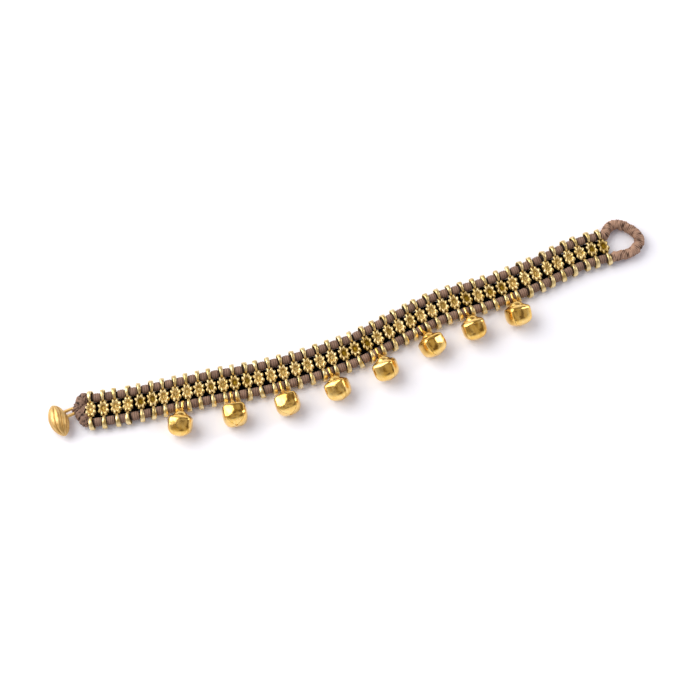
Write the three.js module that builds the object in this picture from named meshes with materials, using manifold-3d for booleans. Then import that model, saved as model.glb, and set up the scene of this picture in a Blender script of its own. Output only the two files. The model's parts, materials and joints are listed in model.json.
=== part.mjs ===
// Bell bracelet, lying open on a table. Cast rosette links are strung side by side on two waxed
// cords, over a dark core cord. Jingle bells hang on the lower cord. One end closes in a thread-wrapped
// point with a fluted toggle button, the other in a stitched button loop.
// Millimetres, +Z up, +X from the button to the loop, the table at z = 0.

import * as THREE from 'three';
import { mergeVertices } from 'three/addons/utils/BufferGeometryUtils.js';
import Module from 'manifold-3d';

const wasm = await Module();
wasm.setup();

// Band: how many links, how far apart, and how the spacing, the band's heading and the links' own turn
// change from end to end
const LINK_COUNT = 45;
const LINK_PITCH = 3.84;
const PITCH_CHANGE = [0.01, -0.17, -0.11, 0.09, 0.11, -0.03, 0.08, 0.15, 0.06];
const BEND_DEG = [-12, -6, -6, -9, -3, 1, 11, 9, -3, 4, 10, -5];
const TURN_DEG = [-14, -12, -12, -7, -2, -2, 2, 4, 3, -1, 2, 3];
const JOINED_LINKS = [[1, 2], [3, 6], [39, 42]];
const JOIN_WIDTH = 0.6;

// Link: a strap ring round each cord and a rosette between them
const RING_SPACING = 8.5;
const RING_RADIUS = 2.1;
const RING_WALL = 0.55;
const RING_WIDTH = 1.4;
const RING_SIDES = 8;
const PETAL_COUNT = 8;
const ROSETTE_LENGTH = 3.5;
const ROSETTE_BITE = 0.25;
const ROSETTE_THICKNESS = 1.6;
const ROSETTE_RISE = 1.3;
const PETAL_NOTCH = 0.45;

// Cords: the two waxed ones are pulled inward in their rings
const CORD_INSET = 0.25;
const CORD_CLEARANCE = 0.5;
const CORD_SWELL = 0.2;
const CORD_SIDES = 6;
const CORD_END_RUN = 0.3;
const CORE_THICKNESS = 0.9;
const CORE_WAIST = 1.9;
const CORE_SWELL = 0.6;
const CORE_SHIFT = 0.3;
const CORE_GAP = 0.3;
const CORE_SIDES = 8;
const SEAM_GAP = 0.3;

// Jingle bell: petals folded up round a pellet, with a strap eye on the lower cord. Each bell has its
// own lean on the table, and its petals their own roll under the eye. The strap is bent, so that the
// mouth of each bell pitches down to the table by its own amount.
// The profile lists share of height, share of radius and roundness, from the crown down.
const FIRST_BELL_LINK_COUNT = 8;
const BELL_LINK_COUNT = 4;
const BELL_LEAN_DEG = [-17, 1, 3, 3, -6, 4, 5, -8];
const BELL_ROLL_DEG = [0, 0, 8, 24, 24, -14, 8, -14];
const BELL_PITCH_DEG = [39, 10, 18, 34, 42, 34, 42, 42];
const BELL_RADIUS = 4.0;
const BELL_HEIGHT = 7.2;
const BELL_WALL = 0.5;
const BELL_SIDES = 12;
const BELL_BORE_SIDES = 8;
const BELL_LIFT = 0.1;
const CROWN_DROP = 3.5;
const SLOT_WIDTH = 0.6;
const SLOT_HEIGHT = 4.2;
const EYE_CLEARANCE = 0.35;
const EYE_WALL = 0.3;
const EYE_WIDTH = 0.7;
const EYE_FOOT = 0.8;
const PELLET_RADIUS = 1.4;
const PELLET_GAP = 0.5;
const BELLY_SHARE = 0.48;
const BELL_PROFILE = [
  [0, 0.25, 0.9], [0.22, 0.9, 0.6], [BELLY_SHARE, 1, 0.7],
  [0.74, 0.87, 0.75], [0.92, 0.54, 0.75], [1, 0.15, 0.8],
];

// Thread-wrapped point, toggle button and the two hoops that link them
const POINT_LENGTH = 2.5;
const POINT_OFFSET = 1.0;
const POINT_HEIGHT = 1.45;
const POINT_TIP_WIDTH = 1.1;
const POINT_SIDES = 12;
const POINT_PROFILE = [[1, 0], [0.8, 0.42], [0.55, 0.78], [0.3, 1], [0, 0.96]];
const HOOP_SIDES = 6;
const HOOP_STEPS = 8;
const HOOP_PLAY = 0.15;
const BIGHT_WIRE = 0.3;
const BIGHT_RADIUS = 1.25;
const BIGHT_TURN_DEG = 25;
const SHANK_WIRE = 0.36;
const SHANK_RADIUS = 0.95;
const SHANK_LEG = 1.9;
const SHANK_TURN_DEG = 18;
const SHANK_OFFSET = 1.4;
const TOGGLE_LENGTH = 10.8;
const TOGGLE_RADIUS = 3.0;
const TOGGLE_FLUTES = 12;
const TOGGLE_FLUTE_DEPTH = 0.3;
const TOGGLE_STEPS = 8;
const TOGGLE_BLUNT_SHARE = 0.35;

// Stitched button loop: the way its middle runs, along and across from the last link
const LOOP_RADIUS = 1.55;
const LOOP_LIFT = 0.15;
const LOOP_RIBS = 24;
const LOOP_RIB_DEPTH = 0.18;
const LOOP_SIDES = 8;
const LOOP_RUN = 1.0;
const LOOP_POINTS = [
  [3.6, 6.0], [5.9, 6.3], [8.6, 5.0], [10.8, 2.6], [11.5, -0.2], [10.1, -2.5], [7.8, -3.8], [5.4, -4.0],
];

// Sizes that follow
const RING_BORE = RING_RADIUS - RING_WALL;
const ROSETTE_WIDTH = RING_SPACING - 2 * RING_RADIUS + 2 * ROSETTE_BITE;
const CORD_HEIGHT = RING_RADIUS;
const CORD_WAIST = RING_BORE - CORD_CLEARANCE;
const CORD_RADIUS = CORD_WAIST + CORD_SWELL;
const ROSETTE_TOP = CORD_HEIGHT + ROSETTE_RISE;
const ROSETTE_BASE = ROSETTE_TOP - ROSETTE_THICKNESS;
const CORE_HEIGHT = ROSETTE_BASE - CORE_GAP - CORE_THICKNESS / 2;
const EYE_BORE = CORD_RADIUS + EYE_CLEARANCE;
const EYE_RADIUS = EYE_BORE + EYE_WALL;

const MERGE_DISTANCE = 1e-4;

const brass = new THREE.MeshStandardMaterial({ color: 0xc9b367, roughness: 0.35, metalness: 1 });
const gold = new THREE.MeshStandardMaterial({ color: 0xd9a441, roughness: 0.15, metalness: 1 });
const satinGold = new THREE.MeshStandardMaterial({ color: 0xd8b06a, roughness: 0.4, metalness: 1 });
const steel = new THREE.MeshStandardMaterial({ color: 0x9a9a98, roughness: 0.3, metalness: 1 });
const taupe = new THREE.MeshStandardMaterial({ color: 0x8a7065, roughness: 0.85, metalness: 0 });
const black = new THREE.MeshStandardMaterial({ color: 0x14141a, roughness: 0.8, metalness: 0 });

// Solids for joining and cutting, and back to geometry
function solid(geometry) {
  const bare = geometry.clone();
  bare.deleteAttribute('normal');
  bare.deleteAttribute('uv');
  const merged = mergeVertices(bare, MERGE_DISTANCE);
  return new wasm.Manifold(new wasm.Mesh({
    numProp: 3,
    vertProperties: new Float32Array(merged.attributes.position.array),
    triVerts: new Uint32Array(merged.index.array),
  }));
}

function geometryOf(body) {
  const mesh = body.getMesh();
  const geometry = new THREE.BufferGeometry();
  geometry.setAttribute('position', new THREE.BufferAttribute(mesh.vertProperties, 3));
  geometry.setIndex(new THREE.BufferAttribute(mesh.triVerts, 1));
  geometry.computeVertexNormals();
  return geometry;
}

function join(...geometries) {
  return geometryOf(geometries.map(solid).reduce((whole, piece) => whole.add(piece)));
}

// A closed skin through rings of points, each ring with as many points, ends closed by fans
function loft(rings) {
  const points = rings.flat();
  const sides = rings[0].length;
  const index = [];
  for (let ring = 0; ring < rings.length - 1; ring += 1) {
    for (let side = 0; side < sides; side += 1) {
      const a = ring * sides + side;
      const b = ring * sides + (side + 1) % sides;
      index.push(a, b, b + sides, a, b + sides, a + sides);
    }
  }
  const last = (rings.length - 1) * sides;
  for (let side = 1; side < sides - 1; side += 1) {
    index.push(0, side + 1, side, last, last + side, last + side + 1);
  }
  const geometry = new THREE.BufferGeometry().setFromPoints(points);
  geometry.setIndex(index);
  geometry.computeVertexNormals();
  return geometry;
}

// A tube along a path, with its own half width at each point and its section upright, as high as it is
// wide unless a half height is given
function tube(path, widths, sides, height) {
  const up = new THREE.Vector3();
  const side = new THREE.Vector3();
  const rings = path.map((point, i) => {
    const before = path[Math.max(i - 1, 0)];
    const after = path[Math.min(i + 1, path.length - 1)];
    const along = after.clone().sub(before).normalize();
    side.crossVectors(new THREE.Vector3(0, 0, 1), along).normalize();
    up.crossVectors(along, side);
    return ringOf(sides, (c, s) => point.clone().addScaledVector(side, c * widths[i])
      .addScaledVector(up, s * (height ?? widths[i])));
  });
  return loft(rings);
}

function ringOf(sides, place) {
  return Array.from({ length: sides }, (_, i) => {
    const angle = (i + 0.5) / sides * Math.PI * 2;
    return place(Math.cos(angle), Math.sin(angle), angle);
  });
}

// A value read part way along an even list, easing from each entry to the next
function alongList(list, share) {
  const at = Math.min(share, 1) * (list.length - 1);
  const i = Math.min(Math.floor(at), list.length - 2);
  const ease = (1 - Math.cos((at - i) * Math.PI)) / 2;
  return list[i] + (list[i + 1] - list[i]) * ease;
}

// Where each link lies: its centre on the table, the band's heading there and the link's own turn
const radians = THREE.MathUtils.degToRad;
const links = [];
for (let i = 0; i < LINK_COUNT; i += 1) {
  const share = i / (LINK_COUNT - 1);
  const heading = radians(alongList(BEND_DEG, share));
  const turn = radians(alongList(TURN_DEG, share));
  const centre = new THREE.Vector3();
  if (i > 0) {
    const between = (links[i - 1].heading + heading) / 2;
    const pitch = LINK_PITCH + alongList(PITCH_CHANGE, (i - 1) / (LINK_COUNT - 2));
    centre.copy(links[i - 1].centre).add(flat(between, pitch));
  }
  links.push({ centre, heading, turn });
}

function flat(angle, length) {
  return new THREE.Vector3(Math.cos(angle) * length, Math.sin(angle) * length, 0);
}

// A point across from a link's centre at the height of the cords, towards the upper cord if positive
function acrossLink(link, distance) {
  return link.centre.clone().add(flat(link.turn + Math.PI / 2, distance)).setZ(CORD_HEIGHT);
}

function polygon(radius, sides) {
  return ringOf(sides, (c, s) => new THREE.Vector2(c, s).multiplyScalar(radius / Math.cos(Math.PI / sides)));
}

function extrude(shape, depth) {
  return new THREE.ExtrudeGeometry(shape, { depth, bevelEnabled: false, curveSegments: 1 })
    .translate(0, 0, -depth / 2);
}

// Link
function linkGeometry() {
  const strap = new THREE.Shape(polygon(RING_RADIUS, RING_SIDES));
  strap.holes.push(new THREE.Path(polygon(RING_BORE, RING_SIDES)));
  const ring = extrude(strap, RING_WIDTH).rotateY(Math.PI / 2).translate(0, 0, CORD_HEIGHT);
  const petals = ringOf(PETAL_COUNT * 2, (c, s, angle) => {
    const tip = Math.round(angle / Math.PI * PETAL_COUNT - 0.5) % 2 === 0;
    const inset = tip ? 0 : PETAL_NOTCH;
    return new THREE.Vector2(c * (ROSETTE_LENGTH / 2 - inset), s * (ROSETTE_WIDTH / 2 - inset));
  });
  const rosette = extrude(new THREE.Shape(petals), ROSETTE_THICKNESS)
    .translate(0, 0, ROSETTE_TOP - ROSETTE_THICKNESS / 2);
  const upper = ring.clone().translate(0, RING_SPACING / 2, 0);
  const lower = ring.clone().translate(0, -RING_SPACING / 2, 0);
  return join(upper, rosette, lower);
}

const band = new THREE.Group();

function add(name, geometry, material, parent = band) {
  const mesh = new THREE.Mesh(geometry, material);
  mesh.name = name;
  parent.add(mesh);
  return mesh;
}

const twoDigits = (number) => String(number).padStart(2, '0');
const oneLink = linkGeometry();

function placedLink(link) {
  const turned = oneLink.clone().rotateZ(link.turn);
  return turned.translate(link.centre.x, link.centre.y, 0);
}

// The short web that holds two neighbouring rosettes of a joined stretch together
function petalJoin(first, second) {
  const middle = first.centre.clone().lerp(second.centre, 0.5);
  const web = new THREE.BoxGeometry(LINK_PITCH - ROSETTE_LENGTH / 2, JOIN_WIDTH, JOIN_WIDTH);
  return web.rotateZ((first.heading + second.heading) / 2)
    .translate(middle.x, middle.y, ROSETTE_TOP - ROSETTE_THICKNESS / 2);
}

for (let number = 1; number <= LINK_COUNT; number += 1) {
  const stretch = JOINED_LINKS.find(([first, last]) => number >= first && number <= last);
  if (!stretch) {
    const mesh = add(`link_${twoDigits(number)}`, oneLink, brass);
    mesh.position.copy(links[number - 1].centre);
    mesh.rotation.z = links[number - 1].turn;
  } else if (number === stretch[0]) {
    const run = links.slice(stretch[0] - 1, stretch[1]);
    const webs = run.slice(1).map((link, i) => petalJoin(run[i], link));
    const name = `links_${twoDigits(stretch[0])}_to_${twoDigits(stretch[1])}`;
    add(name, join(...run.map(placedLink), ...webs), brass);
  }
}

// Cords: narrow inside each ring, swelling between rings
function cordStations(side) {
  const centres = links.map((link) => acrossLink(link, side * (RING_SPACING / 2 - CORD_INSET)));
  const reach = RING_WIDTH / 2 + CORD_END_RUN;
  const first = centres[0].clone().sub(flat(links[0].heading, reach));
  const final = centres[LINK_COUNT - 1].clone().add(flat(links[LINK_COUNT - 1].heading, reach));
  const path = [first];
  const radii = [CORD_WAIST];
  centres.forEach((centre, i) => {
    path.push(centre);
    radii.push(CORD_WAIST);
    if (i < LINK_COUNT - 1) {
      path.push(centre.clone().lerp(centres[i + 1], 0.5));
      radii.push(CORD_RADIUS);
    }
  });
  path.push(final);
  radii.push(CORD_WAIST);
  return { path, radii };
}

const upperCord = cordStations(1);
const lowerCord = cordStations(-1);
add('upper_cord', tube(upperCord.path, upperCord.radii, CORD_SIDES), taupe);
add('lower_cord', tube(lowerCord.path, lowerCord.radii, CORD_SIDES), taupe);

// Core cord: flat and knotted, narrow between the rings of each link, swelling between links and more so
// towards the upper cord
const corePath = [];
links.forEach((link, i) => {
  if (i > 0) {
    const gap = acrossLink(links[i - 1], CORE_SHIFT).lerp(acrossLink(link, CORE_SHIFT), 0.5);
    corePath.push(gap.setZ(CORE_HEIGHT));
  }
  corePath.push(link.centre.clone().setZ(CORE_HEIGHT));
});
corePath.push(corePath.at(-1).clone().add(flat(links.at(-1).heading, ROSETTE_LENGTH / 2)));
const coreWidths = corePath.map((_, i) => CORE_WAIST + (i % 2 === 1 ? CORE_SWELL : 0));
coreWidths[coreWidths.length - 1] = CORE_WAIST;
add('core_cord', tube(corePath, coreWidths, CORE_SIDES, CORE_THICKNESS / 2), black);

// Jingle bell, modelled with its eye on the origin, its axis along +X and the cord along +Z.
// One section of it is a square with rounded corners, turned so that a petal faces each way.
function bellRing(along, radius, roundness, sides) {
  return ringOf(sides, (c, s) => {
    const square = 1 / Math.max(Math.abs(c), Math.abs(s));
    const reach = radius * (roundness + (1 - roundness) * square);
    return new THREE.Vector3(along, c * reach, s * reach);
  });
}

function bellSkin(inset, sides) {
  const height = BELL_HEIGHT - 2 * inset;
  return loft(BELL_PROFILE.map(([share, width, roundness]) => (
    bellRing(CROWN_DROP + inset + share * height, width * BELL_RADIUS - inset, roundness, sides))));
}

const belly = CROWN_DROP + BELL_HEIGHT * BELLY_SHARE;

function bellGeometry(roll, pitch) {
  const hollow = solid(bellSkin(BELL_WALL, BELL_BORE_SIDES));
  const slots = [Math.PI / 4, -Math.PI / 4].map((angle) => solid(
    new THREE.BoxGeometry(SLOT_HEIGHT * 2, SLOT_WIDTH, BELL_RADIUS * 4).rotateX(angle)
      .translate(CROWN_DROP + BELL_HEIGHT, 0, 0)));
  const shell = geometryOf(
    solid(bellSkin(0, BELL_SIDES)).subtract(hollow).subtract(slots[0]).subtract(slots[1]));
  shell.rotateX(roll).translate(-belly, 0, 0).rotateZ(-pitch).translate(belly, 0, 0);
  const crown = new THREE.Vector2(CROWN_DROP, 0).rotateAround(new THREE.Vector2(belly, 0), -pitch);
  const foot = crown.length() + BELL_WALL / 2;
  const outline = polygon(EYE_RADIUS, RING_SIDES).filter((point) => point.x < EYE_RADIUS / 2);
  const strap = new THREE.Shape([
    new THREE.Vector2(foot, 0), ...outline, new THREE.Vector2(foot, -EYE_FOOT),
  ]);
  strap.holes.push(new THREE.Path(polygon(EYE_BORE, RING_SIDES)));
  const eye = extrude(strap, EYE_WIDTH).rotateZ(crown.angle());
  return geometryOf(solid(shell).add(solid(eye)));
}

const bellRise = Math.asin((BELL_RADIUS + BELL_LIFT - CORD_HEIGHT) / belly);
const onePellet = new THREE.IcosahedronGeometry(PELLET_RADIUS, 1);

BELL_LEAN_DEG.forEach((lean, i) => {
  const after = FIRST_BELL_LINK_COUNT + i * BELL_LINK_COUNT;
  const [before, next] = [links[after - 1], links[after]];
  const along = (before.heading + next.heading) / 2;
  const swing = new THREE.Group();
  swing.name = `bell_${i + 1}_swing`;
  const eye = acrossLink(before, -RING_SPACING / 2).lerp(acrossLink(next, -RING_SPACING / 2), 0.5);
  swing.position.copy(eye);
  swing.rotation.order = 'ZYX';
  swing.rotation.set(0, -bellRise, along - Math.PI / 2 + radians(lean));
  band.add(swing);
  const shape = bellGeometry(radians(BELL_ROLL_DEG[i]), radians(BELL_PITCH_DEG[i]));
  const bell = add(`bell_${i + 1}`, shape, gold, swing);
  bell.rotation.x = Math.PI / 2;
  const pellet = add(`pellet_${i + 1}`, onePellet, steel, swing);
  const rest = BELL_RADIUS - BELL_WALL - PELLET_GAP - PELLET_RADIUS;
  pellet.position.set(belly, 0, -rest);
});

// A wire hoop in the XY plane: two legs from -X, joined by a half turn about the origin
function hoop(radius, leg, wire) {
  const path = [new THREE.Vector3(-leg, radius, 0)];
  for (let i = 0; i <= HOOP_STEPS; i += 1) {
    const angle = Math.PI / 2 - Math.PI * i / HOOP_STEPS;
    path.push(new THREE.Vector3(Math.cos(angle) * radius, Math.sin(angle) * radius, 0));
  }
  path.push(new THREE.Vector3(-leg, -radius, 0));
  return tube(path, path.map(() => wire), HOOP_SIDES);
}

// Thread-wrapped point: the two cords drawn together before the first link, with a bight at the tip
const firstLink = links[0];
const skew = Math.abs(firstLink.turn - firstLink.heading);
const ringLead = RING_WIDTH / 2 + CORD_END_RUN + RING_SPACING / 2 * Math.tan(skew);
const pointStart = Math.max(ringLead, ROSETTE_LENGTH / 2) + SEAM_GAP;
const pointWide = RING_SPACING / 2 + CORD_RADIUS;
const pointRings = POINT_PROFILE.map(([share, width]) => {
  const half = POINT_TIP_WIDTH + (pointWide - POINT_TIP_WIDTH) * width;
  return ringOf(POINT_SIDES, (c, s) => new THREE.Vector3(
    -pointStart - share * POINT_LENGTH, share * POINT_OFFSET + c * half, CORD_HEIGHT + s * POINT_HEIGHT));
});
const tip = new THREE.Vector3(-pointStart - POINT_LENGTH, POINT_OFFSET, CORD_HEIGHT);
const bightTurn = Math.PI + radians(BIGHT_TURN_DEG);
const bight = hoop(BIGHT_RADIUS, BIGHT_WIRE * 2, BIGHT_WIRE).rotateX(Math.PI / 2).rotateZ(bightTurn)
  .translate(tip.x, tip.y, tip.z);
const point = add('end_wrap', join(loft(pointRings), bight), taupe);
point.position.copy(firstLink.centre);
point.rotation.z = firstLink.heading;

// Toggle button: a fluted olive with a wire shank, hinged where the shank runs through the bight
function toggleGeometry() {
  const rings = [];
  for (let step = 0; step <= TOGGLE_STEPS; step += 1) {
    const angle = Math.PI * (step + TOGGLE_BLUNT_SHARE) / (TOGGLE_STEPS + 2 * TOGGLE_BLUNT_SHARE);
    const across = TOGGLE_RADIUS * Math.sin(angle);
    const flute = TOGGLE_FLUTE_DEPTH * Math.sin(angle);
    let crest = false;
    rings.push(ringOf(TOGGLE_FLUTES * 2, (c, s) => {
      crest = !crest;
      const reach = across - (crest ? 0 : flute);
      return new THREE.Vector3(c * reach, TOGGLE_LENGTH / 2 * Math.cos(angle), s * reach);
    }));
  }
  return loft(rings);
}

const shankReach = SHANK_LEG + TOGGLE_RADIUS;
const shankIn = BIGHT_WIRE + HOOP_PLAY + SHANK_WIRE;
const pivot = tip.clone().add(flat(bightTurn, BIGHT_RADIUS - shankIn + SHANK_RADIUS));
const buttonSwing = new THREE.Group();
buttonSwing.name = 'button_swing';
buttonSwing.position.copy(pivot).applyAxisAngle(new THREE.Vector3(0, 0, 1), firstLink.heading);
buttonSwing.position.add(firstLink.centre);
buttonSwing.rotation.z = firstLink.heading + radians(SHANK_TURN_DEG);
band.add(buttonSwing);
const shank = hoop(SHANK_RADIUS, shankReach, SHANK_WIRE);
const button = toggleGeometry().translate(-shankReach, -SHANK_OFFSET, TOGGLE_RADIUS - CORD_HEIGHT);
add('toggle_button', join(button, shank), satinGold, buttonSwing);

// Button loop, from the end of the upper cord round to the end of the lower one
const lastLink = links.at(-1);
const loopEnds = [upperCord, lowerCord].map(({ path }) => (
  path.at(-1).clone().add(flat(lastLink.heading, SEAM_GAP))));
const loopMiddle = LOOP_POINTS.map(([along, across]) => lastLink.centre.clone()
  .add(flat(lastLink.heading, along)).add(flat(lastLink.heading + Math.PI / 2, across))
  .setZ(LOOP_RADIUS + LOOP_LIFT));
const loopRuns = loopEnds.map((end) => end.clone().add(flat(lastLink.heading, LOOP_RUN)));
const loopCurve = new THREE.CatmullRomCurve3(
  [loopEnds[0], loopRuns[0], ...loopMiddle, loopRuns[1], loopEnds[1]]);
const loopPath = loopCurve.getSpacedPoints(LOOP_RIBS * 2);
const loopRadii = loopPath.map((_, i) => LOOP_RADIUS - (i % 2 === 0 ? LOOP_RIB_DEPTH : 0));
add('button_loop', tube(loopPath, loopRadii, LOOP_SIDES), taupe);

// The origin goes to the middle of the bracelet's box, on the table
const whole = new THREE.Box3().setFromObject(band, true);
const middle = whole.getCenter(new THREE.Vector3());
band.position.set(-middle.x, -middle.y, -whole.min.z);
band.updateMatrixWorld(true);

export default band;
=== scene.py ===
import json
import math
import random

import bmesh
import bpy
import numpy as np
from mathutils import Matrix, Vector


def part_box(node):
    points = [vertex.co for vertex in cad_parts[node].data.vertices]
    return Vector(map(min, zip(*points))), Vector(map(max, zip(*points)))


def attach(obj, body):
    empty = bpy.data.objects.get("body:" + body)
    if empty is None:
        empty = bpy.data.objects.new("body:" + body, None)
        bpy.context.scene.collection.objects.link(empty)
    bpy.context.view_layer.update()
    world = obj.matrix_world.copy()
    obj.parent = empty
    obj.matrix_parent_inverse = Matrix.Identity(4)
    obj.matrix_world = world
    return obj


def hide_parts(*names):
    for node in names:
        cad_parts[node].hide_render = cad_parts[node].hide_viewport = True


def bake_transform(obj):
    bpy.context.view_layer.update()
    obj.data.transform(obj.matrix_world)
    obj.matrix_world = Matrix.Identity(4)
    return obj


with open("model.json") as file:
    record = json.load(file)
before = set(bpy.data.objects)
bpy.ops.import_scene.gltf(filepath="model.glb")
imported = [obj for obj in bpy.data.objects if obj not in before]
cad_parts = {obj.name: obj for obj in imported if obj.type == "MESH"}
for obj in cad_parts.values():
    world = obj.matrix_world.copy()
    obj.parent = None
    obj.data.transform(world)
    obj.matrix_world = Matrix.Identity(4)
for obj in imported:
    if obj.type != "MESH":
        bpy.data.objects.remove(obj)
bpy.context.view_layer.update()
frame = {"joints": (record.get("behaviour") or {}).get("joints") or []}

# Waxed cords
# The two taupe cords that carry the links, wound with waxed thread and drawn in where a ring grips them.
# Each is cut inside the rings: rigid lengths ride their stretch of band, and the length across each hinge gap
# rides no body.
MM = 0.001
LINK_COUNT = 45
LINK_PITCH = 3.84 * MM
PITCH_CHANGE = (0.01, -0.17, -0.11, 0.09, 0.11, -0.03, 0.08, 0.15, 0.06)
BEND_DEG = (-12, -6, -6, -9, -3, 1, 11, 9, -3, 4, 10, -5)
TURN_DEG = (-14, -12, -12, -7, -2, -2, 2, 4, 3, -1, 2, 3)
STRETCH_ENDS = (2, 6, 10, 14, 18, 22, 26, 30, 34, 38, 42, 45)
RING_SPACING = 8.5 * MM
RING_RADIUS = 2.1 * MM
RING_WIDTH = 1.4 * MM
CORD_SPACING = 8.0 * MM
CORD_WAIST = 1.05 * MM
CORD_RADIUS = 1.4 * MM
CORD_END = 0.26
CORD_SIDES = 20
CORD_STEPS = 46
THREAD_PITCH = 0.72 * MM
THREAD_DEPTH = 0.12 * MM
THREAD_SHADE = 0.8
GRIP_SHARE = 0.17
GRIP_SHADE = 0.9
BARREL_POWER = 4
CORD_CREASE_DEG = 60
MIDDLE_LINK = 24


class Socket:
    """A shader socket that adds and multiplies like a number and can feed any other node."""

    def __init__(self, tree, socket=None):
        self.tree = tree
        self.socket = socket

    def node(self, kind, inputs, output=0, **settings):
        made = self.tree.nodes.new("ShaderNode" + kind)
        for name, value in settings.items():
            setattr(made, name, value)
        for key, value in inputs.items():
            self.feed(made.inputs[key], value)
        return Socket(self.tree, made.outputs[output])

    def feed(self, target, value):
        if isinstance(value, Socket):
            self.tree.links.new(value.socket, target)
        else:
            target.default_value = value

    def maths(self, operation, first, second):
        return self.node("Math", {0: first, 1: second}, operation=operation)

    def __add__(self, other):
        return self.maths("ADD", self, other)

    def __radd__(self, other):
        return self.maths("ADD", other, self)

    def __sub__(self, other):
        return self.maths("SUBTRACT", self, other)

    def __rsub__(self, other):
        return self.maths("SUBTRACT", other, self)

    def __mul__(self, other):
        return self.maths("MULTIPLY", self, other)

    def __rmul__(self, other):
        return self.maths("MULTIPLY", other, self)

    def between(self, low, high, start=0.0, end=1.0):
        inputs = {0: self, 1: low, 2: high, 3: start, 4: end}
        return self.node("MapRange", inputs, interpolation_type="SMOOTHSTEP")

    def mix(self, first, second):
        return self.node("Mix", {0: self, 6: first, 7: second}, 2, data_type="RGBA")


def colour(red, green, blue):
    """A screen colour, 0 to 255, as the shader's linear one."""
    parts = [part / 255 for part in (red, green, blue)]
    linear = [p / 12.92 if p < 0.04045 else ((p + 0.055) / 1.055) ** 2.4 for p in parts]
    return (*linear, 1.0)


def new_material(name, fixed):
    made = bpy.data.materials.new(name)
    made.use_nodes = True
    shader = made.node_tree.nodes["Principled BSDF"]
    for key, value in fixed.items():
        shader.inputs[key].default_value = value
    return made, shader.inputs, Socket(made.node_tree)


def waxed_thread(name, lit, mid, deep, shine):
    """Waxed thread: painted shade makes it dark in the channels between turns, so the crown of each turn is
    lighter, with fine fibre.
    """
    made, inputs, start = new_material(name, {"Specular IOR Level": shine})
    place = start.node("TexCoord", {}, "Object")
    fibre = start.node("TexNoise", {"Vector": place, "Scale": 3800.0, "Detail": 3.0})
    wear = start.node("TexNoise", {"Vector": place, "Scale": 420.0, "Detail": 2.0})
    groove_shade = start.node("Attribute", {}, "Fac", attribute_name="groove_shade")
    body = (wear * 0.7 + fibre * 0.5 - 0.1).between(0.2, 0.75).mix(mid, lit)
    # Painted shade: the shade mask mixes in the deep colour in the channels between thread turns, where a
    # cord runs under a ring, between knots and beside stitched ridges.
    start.feed(inputs["Base Color"], groove_shade.between(0.1, 0.9).mix(body, deep))
    start.feed(inputs["Roughness"], 0.55 + wear * 0.35)
    bump = start.node("Bump", {"Height": fibre, "Strength": 0.35, "Distance": 0.00006})
    start.feed(inputs["Normal"], bump)
    return made


taupe = waxed_thread("waxed taupe", colour(160, 127, 106), colour(115, 88, 72), colour(38, 23, 14), 0.3)


def eased(values, share):
    """A value part way along an even list, easing from each entry to the next."""
    at = share * (len(values) - 1)
    i = min(int(at), len(values) - 2)
    ease = (1 - math.cos((at - i) * math.pi)) / 2
    return values[i] + (values[i + 1] - values[i]) * ease


shares = [i / (LINK_COUNT - 1) for i in range(LINK_COUNT)]
headings = np.radians([eased(BEND_DEG, share) for share in shares])
turns = np.radians([eased(TURN_DEG, share) for share in shares])
between = (headings[1:] + headings[:-1]) / 2
pitches = [LINK_PITCH + eased(PITCH_CHANGE, i / (LINK_COUNT - 2)) * MM for i in range(LINK_COUNT - 1)]
steps = np.column_stack([np.cos(between) * pitches, np.sin(between) * pitches])
centres = np.vstack([np.zeros((1, 2)), np.cumsum(steps, axis=0)])
low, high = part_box(f"link_{MIDDLE_LINK}")
centres += (np.array(low)[:2] + np.array(high)[:2]) / 2 - centres[MIDDLE_LINK - 1]
FLOOR_GAP = low.z
CORD_HEIGHT = RING_RADIUS + FLOOR_GAP
across = np.column_stack([-np.sin(turns), np.cos(turns)])


def smooth_line(points, at):
    """Points on a smooth line through the given ones, at fractional positions along the list."""
    points = np.asarray(points, float)
    padded = np.vstack([2 * points[:1] - points[1:2], points, 2 * points[-1:] - points[-2:-1]])
    i = np.clip(np.floor(at).astype(int), 0, len(points) - 2)
    t = (np.asarray(at) - i)[:, None]
    a, b, c, d = (padded[i + k] for k in range(4))
    return 0.5 * (2 * b + (c - a) * t + (2 * a - 5 * b + 4 * c - d) * t**2 + (3 * b - a - 3 * c + d) * t**3)


def tube(line, radii, sides, flat=1.0):
    """Corners and faces of a closed tube; radii is one row of side radii per point of the line."""
    ahead = np.gradient(line, axis=0)
    ahead /= np.linalg.norm(ahead, axis=1)[:, None]
    aside = np.cross([0, 0, 1], ahead)
    aside /= np.linalg.norm(aside, axis=1)[:, None]
    above = np.cross(ahead, aside)
    angle = np.arange(sides) / sides * 2 * math.pi
    ring = aside[:, None] * np.cos(angle)[None, :, None]
    ring = ring + above[:, None] * (flat * np.sin(angle))[None, :, None]
    corners = (line[:, None] + ring * radii[:, :, None]).reshape(-1, 3)
    faces = [list(range(sides))[::-1], list(range(len(corners) - sides, len(corners)))]
    for row in range(len(line) - 1):
        for side in range(sides):
            a, b = row * sides + side, row * sides + (side + 1) % sides
            faces.append([a, b, b + sides, a + sides])
    return corners, faces


def new_piece(name, corners, faces, material, nodes, body=None, crease=None, groove_shade=None):
    mesh = bpy.data.meshes.new(name)
    mesh.from_pydata(np.asarray(corners).tolist(), [], faces)
    if groove_shade is not None:
        mesh.attributes.new("groove_shade", "FLOAT", "POINT").data.foreach_set("value", np.ravel(groove_shade))
    return place_mesh(name, mesh, material, nodes, body, crease)


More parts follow.
